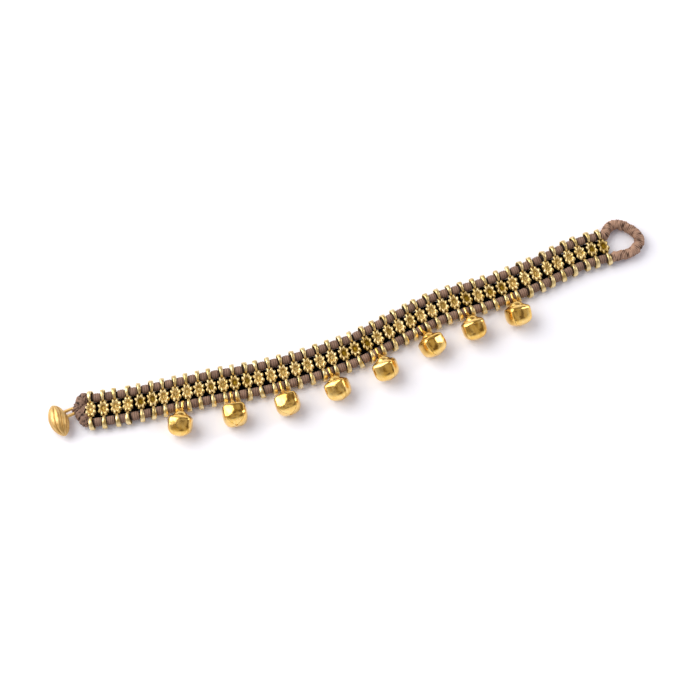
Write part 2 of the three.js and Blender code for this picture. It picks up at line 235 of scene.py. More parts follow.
def place_mesh(name, mesh, material, nodes, body=None, crease=None):
    mesh.polygons.foreach_set("use_smooth", [True] * len(mesh.polygons))
    if crease is not None:
        mesh.set_sharp_from_angle(angle=math.radians(crease))
    mesh.materials.clear()
    mesh.materials.append(material)
    piece = bpy.data.objects.new(name, mesh)
    bpy.context.scene.collection.objects.link(piece)
    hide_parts(*nodes)
    if body is not None:
        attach(piece, body)
    return piece


def wound(line, radii, sides, turn_pitch, depth):
    """Radii with the ridges of a thread wound round the line, and a mask of how far down between turns each
    corner lies, used for painted shade.
    """
    run = np.concatenate([[0], np.cumsum(np.linalg.norm(np.diff(line, axis=0), axis=1))])
    angle = np.arange(sides) / sides * 2 * math.pi
    ridge = np.abs(np.sin(math.pi * run[:, None] / turn_pitch + angle[None, :] / 2))
    return radii[:, None] - depth * (1 - ridge), (1 - ridge) ** 2


def cord_line(side, at):
    points = centres + side * CORD_SPACING / 2 * across
    return np.column_stack([smooth_line(points, at), np.full(len(at), CORD_HEIGHT)])


def band_cuts():
    """Each stretch of band and each hinge gap: body or pair of bodies, and first and last link, from 0."""
    first = 0
    for number, end in enumerate(STRETCH_ENDS, 1):
        yield [f"band_{number}"], first - CORD_END * (first == 0), end - 1 + CORD_END * (end == LINK_COUNT)
        if end < LINK_COUNT:
            yield [f"band_{number}", f"band_{number + 1}"], end - 1, end
        first = end


def band_piece(name, bodies, corners, faces, material, node, groove_shade, ends):
    body = bodies[0] if len(bodies) == 1 else None
    piece = new_piece(name, corners, faces, material, [node], body, CORD_CREASE_DEG, groove_shade)
    if body is None:
        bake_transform(piece)


def gap_ends(line, first, last):
    """The points of a hinge gap's line at the facing edges of the two rings."""
    inset = RING_WIDTH / 2 / LINK_PITCH / (last - first)
    count = len(line) - 1
    return line[round(inset * count)], line[round((1 - inset) * count)]


for node, side in (("upper_cord", 1), ("lower_cord", -1)):
    for number, (bodies, first, last) in enumerate(band_cuts(), 1):
        at = np.linspace(first, last, round((last - first) * CORD_STEPS) + 1)
        line = cord_line(side, at)
        gap = np.clip((at - np.floor(at) - GRIP_SHARE) / (1 - 2 * GRIP_SHARE), 0, 1)
        gap[(at < 0) | (at > LINK_COUNT - 1)] = 0
        barrel = CORD_WAIST + (CORD_RADIUS - CORD_WAIST) * (1 - (2 * gap - 1) ** BARREL_POWER)
        radii, groove_shade = wound(line, barrel, CORD_SIDES, THREAD_PITCH, THREAD_DEPTH)
        # Painted shade: the deep colour in the thread channels and, rising towards each ring, where the cord
        # runs under it.
        grip = (2 * gap - 1) ** (2 * BARREL_POWER)
        groove_shade = np.maximum(THREAD_SHADE * groove_shade, GRIP_SHADE * grip[:, None])
        corners, faces = tube(line, radii, CORD_SIDES)
        band_piece(f"{node}_length_{number:02d}", bodies, corners, faces, taupe, node,
                   groove_shade, gap_ends(line, first, last))

# Core cord
# The black cord under the rosettes, knotted between the links: narrow where it passes between the two
# rings of a link, wide in the gaps, cut at the hinges like the waxed cords.
CORE_WAIST = 2.1 * MM
CORE_SWELL = 0.55 * MM
CORE_SHIFT = 0.35 * MM
CORE_HEIGHT = 1.0 * MM + FLOOR_GAP
CORE_FLAT = 0.19
CORE_SIDES = 20
CORE_STEPS = 24
CORE_END = 0.44
KNOT_PITCH = 0.9 * MM
KNOT_DEPTH = 0.12 * MM

# Near black with no shine. The cord's swell fills the gaps between links, so there it is both the black cord
# and painted shade standing in for the deep shade in the gaps.
black = waxed_thread("black cord", colour(11, 11, 14), colour(6, 6, 8), colour(3, 3, 4), 0.0)

for number, (bodies, first, last) in enumerate(band_cuts(), 1):
    first, last = max(first, 0), min(last, LINK_COUNT - 1 + CORE_END)
    at = np.linspace(first, last, round((last - first) * CORE_STEPS) + 1)
    swell = 0.5 - 0.5 * np.cos(2 * math.pi * at)
    swell[at > LINK_COUNT - 1] = 0
    middle = smooth_line(centres, at) + CORE_SHIFT * swell[:, None] * smooth_line(across, at)
    line = np.column_stack([middle, np.full(len(at), CORE_HEIGHT)])
    radii, groove_shade = wound(line, CORE_WAIST + CORE_SWELL * swell, CORE_SIDES, KNOT_PITCH, KNOT_DEPTH)
    corners, faces = tube(line, radii, CORE_SIDES, CORE_FLAT)
    band_piece(f"core_length_{number:02d}", bodies, corners, faces, black, "core_cord",
               groove_shade, gap_ends(line, first, last))

# Links
# Forty-five brass castings, each an eight-prong rosette with a sunk middle and a strap ring for each cord.
# One casting is set on the cords over and over, with its own tilt and twist for each link, and its own depth
# of painted shade: a random darkening towards the deep colour that stands in for how differently each link
# catches the light.
RING_WALL = 0.5 * MM
RING_SEGMENTS = 40
RING_SECTION = 12
ROSETTE_LENGTH = 3.55 * MM
ROSETTE_WIDTH = 5.1 * MM
ROSETTE_TOP = 3.45 * MM
ROSETTE_BASE = 1.85 * MM
ROSETTE_ROUND = 128
ROSETTE_SHARES = (0.04, 0.12, 0.2, 0.28, 0.36, 0.44, 0.52, 0.6, 0.68, 0.76, 0.84, 0.91, 0.96, 1.0)
ROSETTE_SQUARENESS = 0.7
PRONGS = 8
PRONG_NOTCH = 0.19
PRONG_REACH = 0.96
PRONG_FOOT = 0.3 * MM
FOOT_SHARE = 0.8
DIMPLE_DEPTH = 0.85 * MM
DIMPLE_SPAN = (0.12, 0.74)
DIMPLE_FACET = (0.8, 0.4)
FACET_SPAN = (0.1, 0.4)
VALLEY_DEPTH = 0.6 * MM
VALLEY_SPAN = (0.68, 0.95)
RIM_FALL = 0.25 * MM
RIM_SPAN = (0.84, 1.0)
STRAP_ROUND = (0.85, 0.6)
STRAP_TAPER = (0.78, 0.28)
HOLLOW_WIDTH = 0.48
HOLLOW_START = 0.1 * MM
HOLLOW_DEPTH = 0.9 * MM
HOLLOW_SHADE = 0.7
LINK_CREASE_DEG = 38
TILT_DEG, TILT_LIMIT, TILT_BESIDE = 8.0, 11, 2
TWIST_DEG, TWIST_LIMIT, TWIST_BESIDE = 2.4, 4, 0.5
LINK_SHADE_MEAN, LINK_SHADE_SPREAD, LINK_SHADE_LIMIT = 0.05, 0.22, 0.4
CASTING_SEED = 12


def cast_metal(name, bright, mid, deep, rough, grain):
    """Cast metal: brighter where it is rubbed, with painted shade (the deep colour) laid into its hollows by
    a per-point mask, faintly grained.
    """
    made, inputs, start = new_material(name, {"Metallic": 1.0})
    place = start.node("TexCoord", {}, "Object")
    blotch = start.node("TexNoise", {"Vector": place, "Scale": 700.0, "Detail": 3.0})
    fine = start.node("TexNoise", {"Vector": place, "Scale": 4500.0, "Detail": 2.0})
    painted_hollow_shade = start.node("Attribute", {}, "Fac", attribute_name="painted_hollow_shade")
    rubbed = blotch.between(0.3, 0.7).mix(mid, bright)
    # Painted shade: the mask mixes the deep colour into the hollows.
    start.feed(inputs["Base Color"], painted_hollow_shade.between(0.1, 0.9).mix(rubbed, deep))
    start.feed(inputs["Roughness"], rough + blotch * 0.16 + painted_hollow_shade * 0.15)
    bump = start.node("Bump", {"Height": fine + blotch * 2.0, "Strength": grain, "Distance": 0.0001})
    start.feed(inputs["Normal"], bump)
    return made


brass = cast_metal("cast brass", colour(242, 222, 172), colour(214, 186, 120), colour(152, 122, 34), 0.3, 0.4)


def smoothstep(low, high, value):
    t = np.clip((value - low) / (high - low), 0, 1)
    return t * t * (3 - 2 * t)


def rosette_skin():
    """A closed rosette: rings of corners from the sunk middle out over the prongs and under to the base."""
    angle = np.arange(ROSETTE_ROUND) / ROSETTE_ROUND * 2 * math.pi
    prong = np.abs(np.cos(PRONGS / 2 * (angle - math.pi / PRONGS)))
    square = (np.abs(np.cos(angle)) ** 4 + np.abs(np.sin(angle)) ** 4) ** -0.25
    square = 1 - ROSETTE_SQUARENESS + ROSETTE_SQUARENESS * square
    reach = (1 - PRONG_NOTCH * (1 - prong)) * square * PRONG_REACH
    rings = []
    for share in ROSETTE_SHARES:
        facet = DIMPLE_FACET[0] + DIMPLE_FACET[1] * prong * smoothstep(*FACET_SPAN, share)
        dip = DIMPLE_DEPTH * (1 - smoothstep(*DIMPLE_SPAN, share)) * facet
        valley = VALLEY_DEPTH * smoothstep(*VALLEY_SPAN, share) * (1 - prong)
        fall = RIM_FALL * smoothstep(*RIM_SPAN, share)
        rings.append((share * reach, ROSETTE_TOP - dip - valley - fall))
    rings.append((PRONG_REACH * reach, ROSETTE_BASE + PRONG_FOOT))
    rings.append((FOOT_SHARE * (1 - PRONG_NOTCH), ROSETTE_BASE))
    corners = []
    for out, height in rings:
        heights = np.broadcast_to(height, angle.shape)
        corners.append(np.column_stack([
            np.cos(angle) * out * ROSETTE_LENGTH / 2, np.sin(angle) * out * ROSETTE_WIDTH / 2, heights]))
    return skin(corners)


def skin(rings):
    """Corners and faces of a closed skin through rings of corners, its ends closed by one face each."""
    sides = len(rings[0])
    faces = [list(range(sides)), list(range((len(rings) - 1) * sides, len(rings) * sides))[::-1]]
    for row in range(len(rings) - 1):
        for side in range(sides):
            a, b = row * sides + side, row * sides + (side + 1) % sides
            faces.append([a, a + sides, b + sides, b])
    return np.vstack(rings), faces


def strap_ring(side):
    """A ring of flattened strap about the cord, a little wider on the outside than over the rosette."""
    angle = np.arange(RING_SEGMENTS) / RING_SEGMENTS * 2 * math.pi
    section = np.arange(RING_SECTION) / RING_SECTION * 2 * math.pi
    out = np.sign(np.cos(section)) * np.abs(np.cos(section)) ** STRAP_ROUND[0]
    along = np.sign(np.sin(section)) * np.abs(np.sin(section)) ** STRAP_ROUND[1]
    middle = RING_RADIUS - RING_WALL / 2
    corners = []
    for turn in angle:
        wide = RING_WIDTH / 2 * (STRAP_TAPER[0] + STRAP_TAPER[1] * math.cos(turn))
        reach = middle + RING_WALL / 2 * out
        aside = side * (RING_SPACING / 2 + reach * math.cos(turn))
        corners.append(np.column_stack([along * wide, aside, RING_RADIUS + reach * math.sin(turn)]))
    faces = []
    for row in range(RING_SEGMENTS):
        for i in range(RING_SECTION):
            a = row * RING_SECTION + i
            b = row * RING_SECTION + (i + 1) % RING_SECTION
            c = (row + 1) % RING_SEGMENTS * RING_SECTION
            faces.append([a, b, c + (i + 1) % RING_SECTION, c + i])
    return np.vstack(corners), faces


def united(*skins):
    """One mesh that is the union of closed skins."""
    objects = []
    for corners, faces in skins:
        mesh = bpy.data.meshes.new("blank")
        mesh.from_pydata(np.asarray(corners).tolist(), [], faces)
        shape = bmesh.new()
        shape.from_mesh(mesh)
        bmesh.ops.recalc_face_normals(shape, faces=shape.faces)
        shape.to_mesh(mesh)
        shape.free()
        objects.append(bpy.data.objects.new("blank", mesh))
        bpy.context.scene.collection.objects.link(objects[-1])
    for other in objects[1:]:
        union = objects[0].modifiers.new("union", "BOOLEAN")
        union.operation = "UNION"
        union.solver = "EXACT"
        union.object = other
    bpy.context.view_layer.update()
    result = bpy.data.meshes.new_from_object(objects[0].evaluated_get(bpy.context.evaluated_depsgraph_get()))
    for blank in objects:
        bpy.data.objects.remove(blank)
    return result


casting = united(rosette_skin(), strap_ring(1), strap_ring(-1))
spots = np.array([corner.co for corner in casting.vertices])
# Painted shade for the rosette's sunk middle: deeper the lower a point lies inside it.
inside = (np.abs(spots[:, 1]) < ROSETTE_WIDTH * HOLLOW_WIDTH) & (spots[:, 2] > ROSETTE_BASE)
sunk = np.clip((ROSETTE_TOP - HOLLOW_START - spots[:, 2]) / HOLLOW_DEPTH, 0, 1)
painted_hollow_shade = np.where(inside, sunk, 0)

JOINED = {1: "links_01_to_02", 2: "links_01_to_02"}
JOINED.update({number: "links_03_to_06" for number in range(3, 7)})
JOINED.update({number: "links_39_to_42" for number in range(39, 43)})
BELL_LINKS = range(8, 37, 4)


def drawn_within(spread, least, most):
    """A chance angle about zero, held between two limits, in radians."""
    return math.radians(max(least, min(most, chance.gauss(0, spread))))


chance = random.Random(CASTING_SEED)
for number in range(1, LINK_COUNT + 1):
    i = number - 1
    before = number in STRETCH_ENDS or number in BELL_LINKS
    after = number - 1 in STRETCH_ENDS or number - 1 in BELL_LINKS
    tilt = drawn_within(
        TILT_DEG, -TILT_BESIDE if before else -TILT_LIMIT, TILT_BESIDE if after else TILT_LIMIT)
    twist = drawn_within(
        TWIST_DEG, -TWIST_BESIDE if after else -TWIST_LIMIT, TWIST_BESIDE if before else TWIST_LIMIT)
    # Painted shade for this link: a random amount by which the whole casting leans to its deep colour.
    painted_link_shade = max(0, min(LINK_SHADE_LIMIT, chance.gauss(LINK_SHADE_MEAN, LINK_SHADE_SPREAD)))
    lift = Matrix.Translation((0, 0, RING_RADIUS))
    spot = Matrix.Translation((*centres[i], FLOOR_GAP)) @ Matrix.Rotation(turns[i] + twist, 4, "Z")
    mesh = casting.copy()
    # The hollow's painted shade and the link's painted shade together.
    hollow_and_link_shade = np.clip(painted_hollow_shade * (HOLLOW_SHADE + painted_link_shade) + inside * painted_link_shade, 0, 1)
    mesh.attributes.new("painted_hollow_shade", "FLOAT", "POINT").data.foreach_set("value", hollow_and_link_shade)
    mesh.transform(spot @ lift @ Matrix.Rotation(tilt, 4, "Y") @ lift.inverted())
    stretch = 1 + next(k for k, end in enumerate(STRETCH_ENDS) if number <= end)
    place_mesh(f"rosette_link_{number:02d}", mesh, brass,
               [JOINED.get(number, f"link_{number:02d}")], f"band_{stretch}", LINK_CREASE_DEG)

# Bells
# Eight stamped jingle bells of polished gold plate: four petals folded from a square crown, with slots at
# the corners below the shoulder. A strap eye round the lower cord runs down a drawn neck to the crown.
BELL_LEAN_DEG = (-17, 1, 3, 3, -6, 4, 5, -8)
BELL_ROLL_DEG = (0, 0, 8, 24, 24, -14, 8, -14)
BELL_RADIUS = 4.0 * MM
BELL_HEIGHT = 7.2 * MM
BELL_LIFT = 0.28 * MM
CROWN_DROP = 3.5 * MM
BELLY_SHARE = 0.48
BELL_PITCH_DEG = (39, 10, 18, 34, 42, 34, 42, 42)
BELL_WALL = 0.35 * MM
PETAL_COLUMNS = 20
CORNER_POWER = 9
SLOT_START = 0.5
SLOT_TAPER = 0.06
SLOT_GAP = (0.02 * MM, 0.06 * MM)
SLOT_REACH = 1.2
SLOT_LIMIT = 0.6
WELD = 0.02 * MM
BELL_CREASE_DEG = 34
EYE_RADIUS = 1.78 * MM
EYE_ARC_DEG = (68, 302)
EYE_STEPS = 33
EYE_WALL = 0.38 * MM
EYE_WIDTH = (0.8 * MM, 1.3 * MM, 1.6 * MM)
NECK_SPAN = (1.5 * MM, 3.2 * MM)
FLARE_START = 1.2 * MM
FLARE_POWER = 2.2
LEG_START = 1.75 * MM
LEG_HEIGHT = (0.56 * MM, -1.05 * MM)
# Strap legs: distance back from the crown and height over the middle line.
UPPER_LEG = ((-0.2 * MM, 0.4 * MM), (0.3 * MM, 0.44 * MM), (1.0 * MM, 0.42 * MM), (1.7 * MM, 0.4 * MM))
LOWER_LEG = ((1.7 * MM, -0.6 * MM), (1.0 * MM, -0.45 * MM), (-0.2 * MM, -0.35 * MM))
# Strap section: share of the half width and share of the half wall, domed outside and flat inside.
STRAP_EDGE = (
    (1, 0), (0.92, 0.4), (0.7, 0.72), (0.36, 0.94), (0, 1), (-0.36, 0.94), (-0.7, 0.72), (-0.92, 0.4),
    (-1, 0), (-0.8, -0.9), (0.8, -0.9),
)
# Neck: distance back from the crown, share of the bend, half width and half depth.
NECK_RINGS = (
    (1.6 * MM, 0, 0.62 * MM, 0.55 * MM), (0.7 * MM, 0.15, 0.75 * MM, 0.66 * MM),
    (0.25 * MM, 0.4, 1.15 * MM, 0.9 * MM), (-0.6 * MM, 1, 2.4 * MM, 2.4 * MM),
)
NECK_SIDES = 32
NECK_STEPS = 13
# Petals, down from the crown: share of the height, share of the radius and roundness of the section.
BELL_PROFILE = (
    (-0.045, 0.0, 1.0), (-0.042, 0.1, 1.0), (-0.03, 0.2, 1.0), (0.0, 0.33, 0.95), (0.04, 0.47, 0.85),
    (0.08, 0.61, 0.75), (0.12, 0.745, 0.62), (0.16, 0.85, 0.55), (0.205, 0.92, 0.52), (0.27, 0.955, 0.52),
    (0.36, 0.965, 0.54), (0.46, 0.965, 0.55), (0.56, 0.96, 0.55), (0.66, 0.935, 0.55), (0.75, 0.885, 0.56),
    (0.83, 0.8, 0.6), (0.9, 0.65, 0.66), (0.955, 0.44, 0.8), (1.00, 0.1, 0.95),
)


def polished_gold(name, bright, deep, rough):
    """Polished plate: warm and mirror-like, with faint smears and hairline brushing."""
    made, inputs, start = new_material(name, {"Metallic": 1.0})
    place = start.node("TexCoord", {}, "Object")
    smear = start.node("TexNoise", {"Vector": place, "Scale": 260.0, "Detail": 3.0})
    drawn = start.node("Mapping", {"Vector": place, "Scale": (1.0, 0.1, 0.5)})
    streak = start.node("TexNoise", {"Vector": drawn, "Scale": 1500.0, "Detail": 2.0})
    start.feed(inputs["Base Color"], (smear * 0.6 + streak * 0.4).between(0.35, 0.65).mix(deep, bright))
    start.feed(inputs["Roughness"], rough + smear.between(0.4, 0.8) * 0.1)
    bump = start.node("Bump", {"Height": smear * 3.0 + streak * 0.6, "Strength": 0.14, "Distance": 0.0002})
    start.feed(inputs["Normal"], bump)
    return made


gold = polished_gold("polished gold", colour(252, 216, 138), colour(238, 190, 92), 0.15)


def bell_shell():
    """Four petals as one sheet, joined above the slots and parted below them, thickened inwards."""
    sheet = bmesh.new()
    rows = smooth_line(BELL_PROFILE, np.linspace(0, len(BELL_PROFILE) - 1, 2 * len(BELL_PROFILE) - 1))
    for quarter in range(4):
        grid = []
        for share, width, roundness in rows:
            parted = smoothstep(SLOT_START, SLOT_START + SLOT_TAPER, share)
            gap = parted * (SLOT_GAP[0] + (SLOT_GAP[1] - SLOT_GAP[0]) * max(share - SLOT_START, 0) * 2)
            reach = max(width, 0) * BELL_RADIUS
            half = math.pi / 4 - min(gap / max(reach * SLOT_REACH, BELL_WALL), SLOT_LIMIT)
            row = []
            for column in range(PETAL_COLUMNS + 1):
                angle = quarter * math.pi / 2 + half * (2 * column / PETAL_COLUMNS - 1)
                c, s = math.cos(angle), math.sin(angle)
                square = (abs(c) ** CORNER_POWER + abs(s) ** CORNER_POWER) ** (-1 / CORNER_POWER)
                out = reach * (roundness + (1 - roundness) * square)
                row.append(sheet.verts.new((CROWN_DROP + share * BELL_HEIGHT, c * out, s * out)))
            grid.append(row)
        for upper, lower in zip(grid, grid[1:]):
            for i in range(PETAL_COLUMNS):
                sheet.faces.new((upper[i], upper[i + 1], lower[i + 1], lower[i]))
    bmesh.ops.remove_doubles(sheet, verts=sheet.verts, dist=WELD)
    bmesh.ops.recalc_face_normals(sheet, faces=sheet.faces)
    mesh = bpy.data.meshes.new("bell")
    sheet.to_mesh(mesh)
    sheet.free()
    blank = bpy.data.objects.new("bell", mesh)
    bpy.context.scene.collection.objects.link(blank)
    wall = blank.modifiers.new("wall", "SOLIDIFY")
    wall.thickness = BELL_WALL
    wall.offset = -1
    bpy.context.view_layer.update()
    thick = bpy.data.meshes.new_from_object(blank.evaluated_get(bpy.context.evaluated_depsgraph_get()))
    bpy.data.objects.remove(blank)
    corners = np.array([corner.co for corner in thick.vertices])
    return corners, [list(face.vertices) for face in thick.polygons]


def bell_eye(reach):
    """The strap from one side of the crown round the cord and back, widening down to the crown."""
    arc = np.radians(np.linspace(*EYE_ARC_DEG, EYE_STEPS))
    round_cord = [(EYE_RADIUS * math.cos(a), EYE_RADIUS * math.sin(a)) for a in arc]
    upper = [*((reach - back, height) for back, height in UPPER_LEG), (LEG_START, LEG_HEIGHT[0])]
    lower = [(LEG_START, LEG_HEIGHT[1]), *((reach - back, height) for back, height in LOWER_LEG)]
    path = np.array(upper + round_cord + lower)
    ahead = np.gradient(path, axis=0)
    ahead /= np.linalg.norm(ahead, axis=1)[:, None]
    normal = np.column_stack([ahead[:, 1], -ahead[:, 0]]) * EYE_WALL / 2
    flare = np.clip((path[:, 0] - FLARE_START) / (reach - FLARE_START), 0, 1) ** FLARE_POWER
    neck = smoothstep(*NECK_SPAN, path[:, 0])
    slim, waist, foot = EYE_WIDTH
    half = (slim + (waist - slim) * neck + (foot - waist) * flare) / 2
    rings = []
    for (x, z), (nx, nz), w in zip(path, normal, half):
        rings.append(np.array([(x + nx * out, w * aside, z + nz * out) for aside, out in STRAP_EDGE]))
    return skin(rings)


def neck_flare(reach, neck, axis):
    """The drawn metal between strap and crown: a slim neck that spreads like a tent to the shoulder."""
    turn = np.arange(NECK_SIDES) / NECK_SIDES * 2 * math.pi

    def along(lean, far):
        return np.array([math.cos(lean) * far, 0, math.sin(lean) * far])

    rings = []
    at = np.linspace(0, len(NECK_RINGS) - 1, NECK_STEPS)
    for back, bend, wide, deep in smooth_line(NECK_RINGS, at):
        middle = along(neck, reach - max(back, 0)) + along(axis, max(-back, 0))
        lean = neck + (axis - neck) * bend
        over = (-math.sin(lean), 0, math.cos(lean))
        ring = np.outer(np.cos(turn) * wide, (0, 1, 0)) + np.outer(np.sin(turn) * deep, over)
        rings.append(middle + ring)
    return skin(rings)


def soldered(*skins):
    """One mesh of closed skins that run into each other."""
    corners, faces = [], []
    for points, sides in skins:
        faces += [[i + len(corners) for i in side] for side in sides]
        corners += np.asarray(points).tolist()
    mesh = bpy.data.meshes.new("bell")
    mesh.from_pydata(corners, [], faces)
    shape = bmesh.new()
    shape.from_mesh(mesh)
    bmesh.ops.recalc_face_normals(shape, faces=shape.faces)
    shape.to_mesh(mesh)
    shape.free()
    return mesh


def moved(matrix, points):
    turn = np.array(matrix.to_3x3())
    return np.asarray(points) @ turn.T + np.array(matrix.translation)


petals = bell_shell()
belly = CROWN_DROP + BELL_HEIGHT * BELLY_SHARE


def bent_bell(roll, pitch):
    """One bell under a bent strap, its petals rolled about its axis and its mouth pitched down."""
    middle = Matrix.Translation((belly, 0, 0))
    place = middle @ Matrix.Rotation(math.radians(pitch), 4, "Y") @ middle.inverted()
    crown = place @ Vector((CROWN_DROP, 0, 0))
    corners, faces = petals
    eye_corners, eye_faces = bell_eye(crown.length)
    lean = math.atan2(crown.z, crown.x)
    return soldered((moved(place @ Matrix.Rotation(math.radians(roll), 4, "X"), corners), faces),
                    (moved(Matrix.Rotation(-lean, 4, "Y"), eye_corners), eye_faces),
                    neck_flare(crown.length, lean, -math.radians(pitch)))


rise = math.asin((BELL_RADIUS + BELL_LIFT - RING_RADIUS) / belly)
joints = {joint["name"]: joint for joint in frame["joints"]}
for number, (lean, roll, pitch) in enumerate(zip(BELL_LEAN_DEG, BELL_ROLL_DEG, BELL_PITCH_DEG), 1):
    after = BELL_LINKS[number - 1]
    aim = (headings[after - 1] + headings[after]) / 2 - math.pi / 2 + math.radians(lean)
    eye = Matrix.Translation(joints[f"bell_swing_{number}"]["pos_m"])
    mesh = bent_bell(roll, pitch)
    mesh.transform(eye @ Matrix.Rotation(aim, 4, "Z") @ Matrix.Rotation(-rise, 4, "Y"))
    place_mesh(f"jingle_bell_{number}", mesh, gold, [f"bell_{number}"],
               f"swinging_bell_{number}", BELL_CREASE_DEG)

# Pellets
# The loose steel shot inside each bell, cut from wire and tumbled: a ball with a few flats.
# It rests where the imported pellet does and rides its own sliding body.
PELLET_RADIUS = 1.4 * MM
PELLET_FLATS = (Vector((0.3, 0.2, 0.93)), Vector((-0.8, 0.5, 0.3)), Vector((0.5, -0.8, -0.3)))
FLAT_SHARE = 0.9
PELLET_CREASE_DEG = 40

steel = cast_metal(
    "pellet steel", colour(190, 190, 188), colour(160, 160, 158), colour(90, 90, 90), 0.25, 0.2)
for number in range(1, len(BELL_LINKS) + 1):
    low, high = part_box(f"pellet_{number}")
    ball = bmesh.new()
    bmesh.ops.create_icosphere(ball, subdivisions=3, radius=PELLET_RADIUS)
    for corner in ball.verts:
        for flat in PELLET_FLATS:
            over = corner.co.dot(flat) - PELLET_RADIUS * FLAT_SHARE
            corner.co -= flat * max(over, 0)
    mesh = bpy.data.meshes.new("pellet")
    ball.to_mesh(mesh)
    ball.free()
    mesh.transform(Matrix.Translation((low + high) / 2))
    place_mesh(f"rattle_pellet_{number}", mesh, steel, [f"pellet_{number}"],
               f"loose_pellet_{number}", PELLET_CREASE_DEG)

# End wrap
# The two cords drawn together before the first link and bound with knotted waxed thread, with a small
# bight of cord at the tip for the button. Two lumpy legs, a filled middle and the bight.
WRAP_LENGTH = 2.5 * MM
WRAP_OFFSET = 1.0 * MM
WRAP_START = 2.05 * MM
WRAP_SIDES = 28
WRAP_STEPS = 150
WRAP_FLAT = 0.9
WRAP_CREASE_DEG = 70
WRAP_THREAD_PITCH = 0.42 * MM
WRAP_THREAD_DEPTH = 0.05 * MM
LEG_OVERLAP = 1.3 * MM
LEG_ELBOW = (0.3 * MM, 3.6 * MM, 0.6 * MM)
LEG_NEAR_TIP = 0.7
LEG_RADIUS, LEG_TAPER, LEG_TUCK = 1.62 * MM, 0.55 * MM, 0.35 * MM
TAPER_SPAN = (0.55, 1.0)
TUCK_SPAN = (0.0, 0.12)
KNOT_TURNS = 5.2
KNOT_HEIGHT, KNOT_ROUND, KNOT_LEVEL = 0.36 * MM, 0.6, 0.75
GRAIN_HEIGHT = 0.13 * MM
GRAIN_WAVES = ((38, 2), (-23, 3))
MIDDLE_SIDES = 32
MIDDLE_STEPS = 60
MIDDLE_REACH = 0.8
MIDDLE_FLAT = 0.35
MIDDLE_WIDTH = (3.0 * MM, 0.8 * MM)
MIDDLE_THREAD_PITCH = 0.5 * MM
MIDDLE_THREAD_DEPTH = 0.1 * MM
HOOP_SIDES = 14
HOOP_STEPS = 40
BIGHT_RADIUS = 1.25 * MM
BIGHT_LEG = 0.6 * MM
BIGHT_WIRE = 0.3 * MM
BIGHT_TURN_DEG = 25

first_link = Matrix.Translation((*centres[0], FLOOR_GAP)) @ Matrix.Rotation(headings[0], 4, "Z")
tip = np.array([-WRAP_START - WRAP_LENGTH, WRAP_OFFSET, RING_RADIUS])
for name, side in (("upper", 1), ("lower", -1)):
    start = np.array([-WRAP_START + LEG_OVERLAP, side * CORD_SPACING / 2, RING_RADIUS])
    elbow = np.array([-WRAP_START - LEG_ELBOW[0], side * LEG_ELBOW[1] + LEG_ELBOW[2], RING_RADIUS])
    near = tip * LEG_NEAR_TIP + elbow * (1 - LEG_NEAR_TIP)
    line = smooth_line([start, (start + elbow) / 2, elbow, near, tip], np.linspace(0, 4, WRAP_STEPS))
    share = np.linspace(0, 1, WRAP_STEPS)
    tuck = LEG_TUCK * (1 - smoothstep(*TUCK_SPAN, share))
    thick = LEG_RADIUS - LEG_TAPER * smoothstep(*TAPER_SPAN, share) - tuck
    angle = np.arange(WRAP_SIDES) / WRAP_SIDES * 2 * math.pi
    knots = np.abs(np.sin(math.pi * share[:, None] * KNOT_TURNS + side * angle[None, :] / 2))
    radii, groove_shade = wound(line, thick, WRAP_SIDES, WRAP_THREAD_PITCH, WRAP_THREAD_DEPTH)
    grain = 1
    for along, around in GRAIN_WAVES:
        grain = grain * np.sin(along * share[:, None] + around * angle[None, :])
    radii = radii + KNOT_HEIGHT * (knots**KNOT_ROUND - KNOT_LEVEL) + GRAIN_HEIGHT * grain
    # Painted shade: deeper between the knots and in the thread channels, paler on the raised grain.
    shade = np.clip(groove_shade * 0.5 + (1 - knots) ** 3 - 0.6 * grain, 0, 1)
    corners, faces = tube(moved(first_link, line), radii, WRAP_SIDES, WRAP_FLAT)
    new_piece(f"wrapped_leg_{name}", corners, faces, taupe, ["end_wrap"], "band_1",
              WRAP_CREASE_DEG, shade)

share = np.linspace(0, 1, MIDDLE_STEPS)
line = np.column_stack([-WRAP_START - share * WRAP_LENGTH * MIDDLE_REACH, share * WRAP_OFFSET,
                        np.full(MIDDLE_STEPS, RING_RADIUS)])
half = MIDDLE_WIDTH[0] + (MIDDLE_WIDTH[1] - MIDDLE_WIDTH[0]) * share
radii, groove_shade = wound(line, half, MIDDLE_SIDES, MIDDLE_THREAD_PITCH, MIDDLE_THREAD_DEPTH)
corners, faces = tube(moved(first_link, line), radii, MIDDLE_SIDES, MIDDLE_FLAT)
new_piece("wrapped_middle", corners, faces, taupe, ["end_wrap"], "band_1",
          WRAP_CREASE_DEG, groove_shade)


def hoop(radius, leg, wire):
    """A wire hoop in the XY plane: a leg from -X, a half turn about the origin and a leg back."""
    turn = np.linspace(math.pi / 2, -math.pi / 2, HOOP_STEPS)
    bend = np.column_stack([np.cos(turn) * radius, np.sin(turn) * radius, np.zeros(HOOP_STEPS)])
    there = [[-leg, radius, 0], [-leg / 2, radius, 0]]
    back = [[-leg / 2, -radius, 0], [-leg, -radius, 0]]
    path = np.vstack([there, bend, back])
    return tube(path, np.full((len(path), HOOP_SIDES), wire), HOOP_SIDES)


bight_turn = math.pi + math.radians(BIGHT_TURN_DEG)
corners, faces = hoop(BIGHT_RADIUS, BIGHT_LEG, BIGHT_WIRE)
bight = (first_link @ Matrix.Translation(tip) @ Matrix.Rotation(bight_turn, 4, "Z")
         @ Matrix.Rotation(math.pi / 2, 4, "X"))
new_piece("wrap_bight", moved(bight, corners), faces, taupe, ["end_wrap"], "band_1",
          WRAP_CREASE_DEG, np.zeros(len(corners)))

